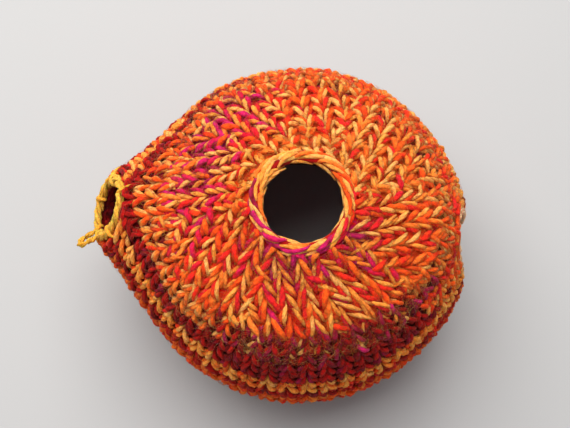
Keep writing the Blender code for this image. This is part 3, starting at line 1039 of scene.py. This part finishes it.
def crown_places():
    """Places and directions of the crown's stitches, and the picture's azimuth of each."""
    found = []
    for low, high in zip(SECTION_EDGES, SECTION_EDGES[1:] + (SECTION_EDGES[0] + 360,)):
        way = math.radians(high - SECTION_LEAN + PICTURE_TURN)
        d = np.array([math.cos(way), math.sin(way)])
        e = np.array([d[1], -d[0]])
        for k in range(int(SECTION_WIDTH / CROWN_PITCH)):
            off = (k + 0.5) * CROWN_PITCH
            w = math.sqrt(max(CROWN_OUTER_R ** 2 - off ** 2, 0))
            start = e * off + d * w
            edge = crown_edge((math.degrees(math.atan2(start[1], start[0])) - PICTURE_TURN) % 360)
            w = math.sqrt(max(edge ** 2 - off ** 2, 0))
            while w > 0:
                q = e * off + d * w
                azimuth = math.degrees(math.atan2(q[1], q[0])) - PICTURE_TURN
                gone = (high - azimuth) % 360
                if np.hypot(*q) > CROWN_INNER_R and gone < high - low + SECTION_OVERLAP:
                    found.append((*q, *d, *e, azimuth % 360))
                w -= CROWN_ROW * (1 + 0.16 * looseness(azimuth % 360))
    return np.array(found)


CROWN_PLACES = crown_places()
print("stitches on the crown", len(CROWN_PLACES))

# %% [markdown]
# ## Stitches on those places
# Each place gets the same two legs as on the wall, laid along its own column. In front the real
# stitches are loose and long and their two yarns lie side by side, at the back they are short and
# tight. The dyed yarn is a little thicker than the straw one, so it gets more radius.


# %% Stitches of the crown
HOLE_EDGE_R = 22.6 * MM
THIN, THICK = 0.94, 1.2
FLIPPED = 0.25
# The steady yarn's dye: the picture's azimuth, the dye.
CROWN_PALE = np.array([
    (0, 0.10), (60, 0.05), (110, 0.06), (190, 0.12), (230, 0.16), (330, 0.15), (360, 0.10),
])


def crown_stitches(name, seed):
    """The stitches of the crown, two legs at each place."""
    rng = np.random.default_rng(seed)
    places = np.repeat(CROWN_PLACES, 2, axis=0)
    hand = np.tile((1, -1), len(places) // 2)
    azimuth = places[:, 6]
    loose = looseness(azimuth)
    x, y, z = leg_shape(len(places), hand, rng, 1.0, (0.9 + 0.55 * loose)[:, None])
    middle, inwards, across = places[:, None, 0:2], places[:, None, 2:4], places[:, None, 4:6]
    q = middle + x[..., None] * across - y[..., None] * inwards
    r = np.maximum(np.hypot(q[..., 0], q[..., 1]), HOLE_EDGE_R)
    turn = np.arctan2(q[..., 1], q[..., 0])
    s = up_the_fabric(r)
    centre, up = fabric(np.abs(turn), s, np.where(turn < 0, -1, 1), z)
    phase = rng.normal(0.55, 0.3, len(places)) + 0.35 * loose
    twist = rng.normal(2.4, 0.4, len(places)) - 1.2 * loose
    centre, up = double(centre, up, PAIR_APART, phase, twist)
    bright = crown_dye(azimuth, r[:, 3], rng)
    pale = np.interp(azimuth, CROWN_PALE[:, 0], CROWN_PALE[:, 1])
    straw = np.clip(rng.normal(pale, 0.09), 0, 1)
    flip = rng.random(len(azimuth)) < FLIPPED
    dyes = np.concatenate([np.where(flip, bright, straw), np.where(flip, straw, bright)])
    radius = STRAND_R * (1 + rng.normal(0, 0.06, len(dyes)))
    radius = radius * np.where(dyes < 0.2, THIN, THICK)
    return wind(name, centre, up, radius, dyes, rng)


stitches.append(crown_stitches("stitches_crown", 14))

# %% [markdown]
# ## The cast-on edge
# The first row of loops lies along the hem like a thin cord. The photograph looks from above and
# doesn't show it, so it is the plain edge that casting on gives: one slanting pair to a stitch. A
# single cord all the way round would do from afar, but it would miss the bead at every stitch.


# %% Cast-on loops
CAST_ON_S = 1.3 * MM
CAST_ON_SLANT = 1.1 * MM
CAST_ON_REACH = 1.5
CAST_ON_LIFT = 0.9 * MM
CAST_ON_R = 0.95 * MM
CAST_ON_APART = 0.7 * MM


def cast_on(name, seed):
    """The loops of the cast-on edge, one slanting pair of strands for each column."""
    rng = np.random.default_rng(seed)
    column = np.arange(COLUMNS)
    turn = (column[:, None] + CAST_ON_REACH * (LEG_T[None, :] - 0.5)) * 2 * math.pi / COLUMNS
    turn = (turn + math.pi) % (2 * math.pi) - math.pi
    lift = -CAST_ON_LIFT + CAST_ON_LIFT * np.sin(math.pi * LEG_T)[None, :]
    s = CAST_ON_S + CAST_ON_SLANT * LEG_T[None, :] + np.zeros_like(turn)
    centre, up = fabric(np.abs(turn), s, np.where(turn < 0, -1, 1), lift)
    phase = rng.normal(0.5, 0.2, COLUMNS)
    centre, up = double(centre, up, CAST_ON_APART, phase, np.full(COLUMNS, 1.5))
    dyes = sprinkle(np.full(2 * COLUMNS, RED), 0.05, rng)
    return wind(name, centre, up, np.full(2 * COLUMNS, CAST_ON_R), dyes, rng)


stitches.append(cast_on("stitches_cast_on", 15))

# %% [markdown]
# ## Yarn along a closed line
# The ring and both edgings are yarn that runs round an opening. A curve with a bevel could follow
# the line, but it would be one smooth tube. The edges of the real cosy are many short lengths that
# overlap, so the same strand is laid along arcs of the line. A torus led along it lies underneath
# as a core, so that no gap shows through.

# %% Helpers for yarn along a closed line
CORE_SIDES = 8
TORUS_R = 2


def arcs(count, span, start=0.0):
    """Where short strands lie on a closed line, in turns: one row for each, overlapping."""
    return start + np.arange(count)[:, None] / count + span * LEG_T[None, :]


def joined(name, pieces):
    """Several meshes as one piece."""
    deselect()
    for piece in pieces:
        piece.select_set(True)
    bpy.context.view_layer.objects.active = pieces[0]
    bpy.ops.object.join()
    pieces[0].name = name
    pieces[0].data.name = name
    return pieces[0]


def core(turns, line, radius, dye):
    """A torus led along a closed line, as the core under wound yarn."""
    deselect()
    bpy.ops.mesh.primitive_torus_add(
        major_segments=turns, minor_segments=CORE_SIDES, major_radius=TORUS_R, minor_radius=1)
    piece = bpy.context.object
    flat = points_of(piece)
    around_line = np.arctan2(flat[:, 1], flat[:, 0]) / (2 * math.pi)
    aside = np.hypot(flat[:, 0], flat[:, 1]) - TORUS_R
    centre, out, up = line(around_line)
    place_points(piece, centre + radius * (out * aside[:, None] + up * flat[:, 2:3]))
    bpy.ops.object.mode_set(mode="EDIT")
    bpy.ops.mesh.select_all(action="SELECT")
    bpy.ops.mesh.normals_make_consistent(inside=False)
    bpy.ops.object.mode_set(mode="OBJECT")
    bpy.ops.object.shade_smooth()
    piece.data.uv_layers[0].name = "strand"
    shades = piece.data.attributes.new("dye", "FLOAT", "POINT")
    shades.data.foreach_set("value", np.full(len(flat), dye))
    return piece


# %% [markdown]
# ## The gathered ring
# Round the crown hole the last loops are drawn up into a thick ring. It shows as long strands
# that run round the hole and cross each other at a low angle, in three layers: one hugs the hole,
# one runs outside and one lies on top. A twisted rope would look too tidy, because every strand of
# a rope turns alike. Its size comes from the solid ring's box in the frame.

# %% Ring
RING_INSET = 2.6 * MM
RING_R = (ring_high.x - ring_low.x) / 2 - RING_INSET
RING_Z = (ring_high.z + ring_low.z) / 2
RING_CORE_R = 1.9 * MM
RING_CORE_SEGMENTS = 96
RING_TUCK = 2.0 * MM
RING_APART = 0.85 * MM
# Layers of the ring: strands, the share of a turn that each covers, radius where it starts and where
# it ends, height.
RING_LAYERS = (
    (9, 0.16, -1.7 * MM, -0.7 * MM, 0.4 * MM),
    (14, 0.105, 2.6 * MM, 0.9 * MM, 0.1 * MM),
    (12, 0.115, 1.4 * MM, -0.9 * MM, 1.7 * MM),
)
# The ring's dyes: the picture's azimuth, the inner layer, the outer and upper layers.
RING_DYES = np.array([
    (0, 0.25, 0.42), (50, 0.15, 0.30), (95, 0.12, 0.14), (140, 0.14, 0.20), (155, 0.16, 0.80),
    (215, 0.32, 0.72), (250, 0.14, 0.66), (290, 0.62, 0.78), (325, 0.48, 0.50), (360, 0.25, 0.42),
])


def ring_line(turn):
    """The ring's middle line, the way out from the hole, and up."""
    a = 2 * math.pi * turn
    out = np.stack([np.cos(a), np.sin(a), np.zeros_like(a)], axis=-1)
    up = np.zeros_like(out) + (0, 0, 1)
    return AXIS + out * RING_R + up * RING_Z, out, up


def ring_yarn(seed):
    """The ring: a core and three layers of strands."""
    rng = np.random.default_rng(seed)
    made = [core(RING_CORE_SEGMENTS, ring_line, RING_CORE_R, CRIMSON)]
    for layer, (count, span, start_out, end_out, height) in enumerate(RING_LAYERS):
        turn = arcs(count, span * (1 + rng.normal(0, 0.08, (count, 1))), layer * 0.05)
        centre, out, up = ring_line(turn)
        aside = start_out + (end_out - start_out) * LEG_T[None, :] + rng.normal(0, 0.35 * MM, (count, 1))
        aside = aside + rng.normal(0.2 * MM, 0.35 * MM, (count, 1)) * np.sin(math.pi * LEG_T[None, :])
        tuck = RING_TUCK * (2 * np.abs(LEG_T[None, :] - 0.5)) ** 2.4
        rise = height + 0.3 * MM - tuck + rng.normal(0, 0.25 * MM, (count, 1))
        centre = centre + out * aside[..., None] + up * rise[..., None]
        facing_out = unit(out * aside[..., None] + up * (np.abs(rise) + 0.6 * MM)[..., None])
        phase = rng.normal(0.5, 0.3, count)
        twist = rng.normal(3.4, 0.6, count)
        centre, facing_out = double(centre, facing_out, RING_APART, phase, twist)
        azimuth = (360 * turn[:, 3] - PICTURE_TURN) % 360
        bright = np.interp(azimuth, RING_DYES[:, 0], RING_DYES[:, 1 if layer == 0 else 2])
        dyes = np.concatenate([sprinkle(bright, 0.06, rng), sprinkle(np.full(count, 0.06), 0.04, rng)])
        radius = MM * rng.normal(1.0, 0.08, 2 * count)
        made.append(wind("ring_layer", centre, facing_out, radius, dyes, rng))
    return joined("ring_yarn", made)


ring = ring_yarn(21)
ring.data.materials.clear()
ring.data.materials.append(wool_finish)
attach(ring, "root")
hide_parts("knob_ring")

# %% [markdown]
# ## The edging of the drawn-out opening
# Mustard yarn is worked over the raw edge of the drawn-out opening. First comes the line that it
# follows: the tilted oval, moved to the middle of the cloth's thickness and a little off its edge.
# It is worked out from the collar's own measures, so the edging can't part from the cloth.

# %% Rim of the opening
CLOTH = 4.5 * MM
RIM_OFF = 2.9 * MM
MUSTARD_R = 1.05 * MM


def opening_rim(turn):
    """The edging's middle line, the way off the fabric's edge, and the fabric's outside."""
    a = 2 * math.pi * turn
    side_on = np.stack([math.sin(COLLAR_TILT) * np.sin(a) * COLLAR_HALF_H, np.cos(a) * COLLAR_HALF_W,
                        math.cos(COLLAR_TILT) * np.sin(a) * COLLAR_HALF_H], axis=-1)
    run = unit(np.stack([math.sin(COLLAR_TILT) * np.cos(a) * COLLAR_HALF_H, -np.sin(a) * COLLAR_HALF_W,
                         math.cos(COLLAR_TILT) * np.cos(a) * COLLAR_HALF_H], axis=-1))
    away = unit(side_on)
    plane = np.array([-math.cos(COLLAR_TILT), 0, math.sin(COLLAR_TILT)])
    off = unit(0.75 * plane - 0.65 * away)
    up = unit(np.cross(off, run))
    up = up * np.sign(np.sum(up * away, axis=-1, keepdims=True))
    middle = AXIS + (COLLAR_X, 0, COLLAR_Z)
    return middle + side_on - up * CLOTH / 2 + off * RIM_OFF, off, up


rim_top = opening_rim(np.array([0.25]))[0][0]
print("top of the edging's line (mm)", np.round(rim_top / MM, 1))

# %% [markdown]
# ## The mustard yarn
# Three strands run round the edge like a rope, a few more whip over it into the fabric, and one
# slack loop hangs off the lower front. The loop is as long as the photograph shows it and is two
# thinner strands laid round its own small line.


# %% Mustard yarn
ROPE_TURNS = 7
ROPE_APART = 1.15 * MM
WHIPS = 5
WHIP_SPAN = 0.035
WHIP_OVER = 3.0 * MM
WHIP_OUT = 2.9 * MM
WHIP_REACH = 5.5 * MM
LOOP_TURN = 0.61
LOOP_STEP = 0.0125
LOOP_LENGTH = 10.0 * MM
LOOP_WIDTH = 0.32
LOOP_LEAN = (-0.86, -0.38, -0.33)
LOOP_APART = 0.62 * MM
LOOP_STRAND_R = 0.8 * MM


def rope(line, strands, count, span, twist, apart, radius, dye, rng):
    """Strands laid round a closed line like a rope, each as a count of lengths that overlap."""
    made = []
    for k in range(strands):
        turn = arcs(count, span, k * 0.37 / count)
        centre, off, up = line(turn)
        angle = 2 * math.pi * (twist * turn + k / strands)
        lean = off * np.cos(angle)[..., None] + up * np.sin(angle)[..., None]
        shades = sprinkle(np.full(count, dye), 0.04, rng)
        sizes = radius * (1 + rng.normal(0, 0.05, count))
        made.append(wind("rope", centre + lean * apart, lean, sizes, shades, rng))
    return made


def whips(rng):
    """Strands that come out of the fabric, pass over the edge and end inside."""
    turn = arcs(WHIPS, WHIP_SPAN, 0.01) + rng.normal(0, 0.006, (WHIPS, 1))
    centre, off, up = opening_rim(turn)
    t = LEG_T[None, :, None]
    reach = WHIP_REACH * (1 + rng.normal(0, 0.15, (WHIPS, 1, 1)))
    out = WHIP_OUT * np.sin(math.pi * t) - reach * (1 - t) ** 2
    over = up * (WHIP_OVER * np.cos(math.pi * t)) + off * out
    dyes = sprinkle(np.full(WHIPS, 0.4), 0.1, rng)
    return wind("whips", centre + over, unit(over), np.full(WHIPS, MUSTARD_R), dyes, rng)


def slack_loop(turn):
    """The loop's line: it leaves the edging, hangs forwards and comes back."""
    root, off, up = opening_rim(np.array([LOOP_TURN - LOOP_STEP, LOOP_TURN, LOOP_TURN + LOOP_STEP]))
    run = unit(root[2] - root[0])
    lean = np.array(LOOP_LEAN)
    lean = unit(lean - run * np.dot(lean, run))
    a = 2 * math.pi * turn[..., None]
    reach = LOOP_LENGTH * 0.5 * (1 - np.cos(a))
    wide = LOOP_LENGTH * LOOP_WIDTH * np.sin(a) * (1 - 0.15 * np.cos(a))
    line = root[1] + off[1] * 0.8 * MM + lean * reach + run * wide
    out = unit(lean * -np.cos(a) + run * np.sin(a))
    return line, out, np.zeros_like(line) + np.cross(run, lean)


# The mustard yarn's own dyes, from pale to deep.
MUSTARD_COLOURS = (
    (0.0, (0.90, 0.50, 0.075)),
    (0.4, (0.84, 0.39, 0.035)),
    (0.8, (0.76, 0.26, 0.022)),
    (1.0, (0.52, 0.17, 0.022)),
)
rng = np.random.default_rng(31)
mustard = rope(opening_rim, 3, ROPE_TURNS, 0.19, 5, ROPE_APART, MUSTARD_R, 0.2, rng)
mustard.append(whips(rng))
mustard += rope(slack_loop, 2, 5, 0.26, 3, LOOP_APART, LOOP_STRAND_R, 0.35, rng)
opening_edge = joined("opening_edge_yarn", mustard)
opening_edge.data.materials.append(wool("mustard_wool", MUSTARD_COLOURS))
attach(opening_edge, "root")
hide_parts("spout_edging")

# %% [markdown]
# ## The edging of the slit
# A pale peach chain finishes the slit. Its line is the slit's own outline, drawn in by about half
# the chain's width: a rounded oblong in the cloth, carried onto the curved wall. Its length is
# measured first, so that the links can be spaced evenly along it.

# %% Rim of the slit
CHAIN_INSET = 2.1 * MM
OUTLINE_STEPS = 721


def slit_rim(turn):
    """The chain's middle line in the slit, the way off the fabric's edge, and the fabric's outside."""
    fine = np.linspace(0, 2 * math.pi, OUTLINE_STEPS)
    power = 2 / SLIT_SQUARENESS
    half_w = SLIT_HALF_W - CHAIN_INSET
    half_s = (SLIT_TOP_S - SLIT_LOW_S) / 2 - CHAIN_INSET
    y = half_w * np.sign(np.cos(fine)) * np.abs(np.cos(fine)) ** power
    s = (SLIT_TOP_S + SLIT_LOW_S) / 2 + half_s * np.sign(np.sin(fine)) * np.abs(np.sin(fine)) ** power
    length = np.append(0, np.cumsum(np.hypot(np.diff(y), np.diff(s))))
    place = (turn % 1.0) * length[-1]
    y = np.interp(place, length, y)
    s = np.interp(place, length, s)
    u = y / profile(s)[0]
    across = base(u + 0.02, s) - base(u - 0.02, s)
    along = base(u, s + MM) - base(u, s - MM)
    up = unit(np.cross(across, along))
    middle = base(np.zeros_like(s), np.full_like(s, (SLIT_TOP_S + SLIT_LOW_S) / 2))
    inward = middle - base(u, s)
    off = unit(inward - up * np.sum(inward * up, axis=-1, keepdims=True))
    return AXIS + base(u, s) - up * CLOTH / 2, off, up


chain_top = slit_rim(np.array([0.25]))[0][0]
print("top of the chain's line (mm)", np.round(chain_top / MM, 1))

# %% [markdown]
# ## The links of the chain
# Each link is a pair of strands that part and close again, and the next link starts inside its end.
# That is how a crocheted chain looks from above. The loop behind each link is hidden in the cloth,
# so it is left to the core.


# %% Chain
CHAIN_LINKS = 32
CHAIN_OVERLAP = 1.35
CHAIN_R = 0.92 * MM
CHAIN_PART = 1.15 * MM
CHAIN_RISE = 2.0 * MM
CHAIN_DIP = 1.5 * MM
CHAIN_CORE_R = 1.2 * MM
CHAIN_CORE_SEGMENTS = 112


def chain(rng):
    """Links along the slit: pairs of strands that part and close."""
    turn = arcs(CHAIN_LINKS, CHAIN_OVERLAP / CHAIN_LINKS)
    centre, off, up = slit_rim(turn)
    part = (CHAIN_PART * np.sin(math.pi * LEG_T) ** 0.8)[None, :, None]
    rise = (CHAIN_RISE - CHAIN_DIP * LEG_T ** 2)[None, :, None]
    left = centre + off * part + up * rise
    right = centre - off * part + up * rise
    dyes = sprinkle(np.full(2 * CHAIN_LINKS, 0.35), 0.2, rng)
    radius = np.full(2 * CHAIN_LINKS, CHAIN_R)
    return wind("chain", np.concatenate([left, right]), np.concatenate([up, up]), radius, dyes, rng)


# The peach yarn's own dyes, from pale to deep.
PEACH_COLOURS = (
    (0.0, (0.92, 0.56, 0.33)),
    (0.5, (0.86, 0.42, 0.22)),
    (1.0, (0.60, 0.22, 0.11)),
)
rng = np.random.default_rng(41)
chain_core = core(CHAIN_CORE_SEGMENTS, slit_rim, CHAIN_CORE_R, 0.9)
slit_edge = joined("slit_edge_yarn", [chain_core, chain(rng)])
slit_edge.data.materials.clear()
slit_edge.data.materials.append(wool("peach_wool", PEACH_COLOURS))
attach(slit_edge, "root")
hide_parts("handle_edging")

# %% [markdown]
# ## Loose fibres
# Thin fibres stand off every strand of wool and give the outline a soft halo. They gather most on
# the ridge where the wall turns into the crown, because hands rub there. Blender's hair would be
# the usual way, but it isn't a mesh and would be lost when the cosy is handed on. So each fibre is
# a three-sided strand of two lengths that curls away from the cloth, the lightest shape that still
# catches the light.

# %% Fuzz
FIBRE_R = 0.048 * MM
FIBRE_STATIONS = 3
RIDGE_S = 109 * MM
RIDGE_SPREAD = 7 * MM
CROWN_FROM_S = 107 * MM
PALE_FIBRE = 0.18
fibre = Pattern(draw_out(3, (1.0, 0.9, 0.3)))


def fibre_dyes(s, u, side, ridge, rng):
    """The dyes of fibres, those of the yarns that they stand on."""
    count = len(s)
    row = np.clip(((s - WALL_FIRST_S) / ROW_PITCH).astype(int), 0, WALL_ROWS - 1)
    azimuth = picture_azimuth(u, side)
    pick = rng.random(count) < 0.5
    wall = np.where(pick, *wall_dyes(row, azimuth, rng).T)
    top = np.where(pick, crown_dye(azimuth, profile(s)[0], rng), PALE_FIBRE)
    dyes = np.where(s > CROWN_FROM_S, top, wall)
    return np.where(ridge & (rng.random(count) < 0.15), PLUM, dyes)


def wool_fuzz(name, count, ridge_share, lowest, seed):
    """Fibres all over the cloth above the lowest place, and a share of them on the ridge."""
    rng = np.random.default_rng(seed)
    ridge = rng.random(count) < ridge_share
    anywhere = lowest + (FABRIC - lowest) * rng.random(count) ** 0.8
    s = np.where(ridge, rng.normal(RIDGE_S, RIDGE_SPREAD, count), anywhere)
    s = np.clip(s, 3 * MM, FABRIC - 2 * MM)
    u = math.pi * np.clip(rng.random(count), 0.01, 0.99)
    side = np.where(rng.random(count) < 0.5, 1, -1)
    t = np.linspace(0, 1, FIBRE_STATIONS)[None, :]
    swing = rng.normal(0, 1, (count, 1))
    drift = rng.normal(0, 1, (count, 1))
    reach = MM * (1.3 + 1.5 * rng.random((count, 1)))
    lift = 0.3 * MM + reach * t * (1 - 0.35 * t)
    r = profile(s)[0][:, None]
    du = MM * (2.6 * swing * t + 1.8 * drift * t ** 2) / r
    ds = MM * (2.6 * drift * t - 1.8 * swing * t ** 2)
    u = np.clip(u[:, None] + du, 0.005, math.pi - 0.005)
    s = np.clip(s[:, None] + ds, 1 * MM, FABRIC - 0.5 * MM)
    centre, up = fabric(u, s, side[:, None], lift)
    dyes = fibre_dyes(s[:, 0], u[:, 0], side, ridge, rng)
    return wind(name, centre, up, np.full(count, FIBRE_R), dyes, rng, fibre)


fuzz = [
    wool_fuzz("wool_fuzz", 12000, 0.36, 0.0, 51),
    wool_fuzz("crown_fuzz", 6000, 0.1, 104 * MM, 52),
]
for piece in stitches + fuzz:
    piece.data.materials.append(wool_finish)
    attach(piece, "root")

# %% [markdown]
# ## Finish of the sheet
# Between the stitches and through the openings the sheet itself shows. Left in one colour it would
# read as a lining, so it gets the same wool with the dyes of the crown above it. Under the wall it
# is dark maroon instead, painted shade for the shadow between the wall's stitches. Its measures
# lying flat are kept on it as attributes: the way round the belly and the length of the profile,
# both from the turned shape.

# %% Finish of the sheet
GROUND_FROM_S = 112 * MM
GROUND_PALEST = 0.33
# Painted shade: the dark maroon dye of the sheet under the wall, for the gaps between stitches.
WALL_GROUND_SHADE = 0.92

sheet.data.materials.append(wool("wool_ground", WOOL_COLOURS))
sides = attribute(sheet, "side")
ground_dye = crown_dye(picture_azimuth(around, sides), profile(along)[0], np.random.default_rng(61))
# Under the wall the sheet gets the dark dye of painted shade.
ground_dye = np.where(along > GROUND_FROM_S, np.maximum(ground_dye, GROUND_PALEST), WALL_GROUND_SHADE)
sheet.data.attributes.new("dye", "FLOAT", "POINT").data.foreach_set("value", ground_dye)
sheet.data.uv_layers[0].name = "strand"
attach(sheet, "root")
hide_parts("cosy_body")
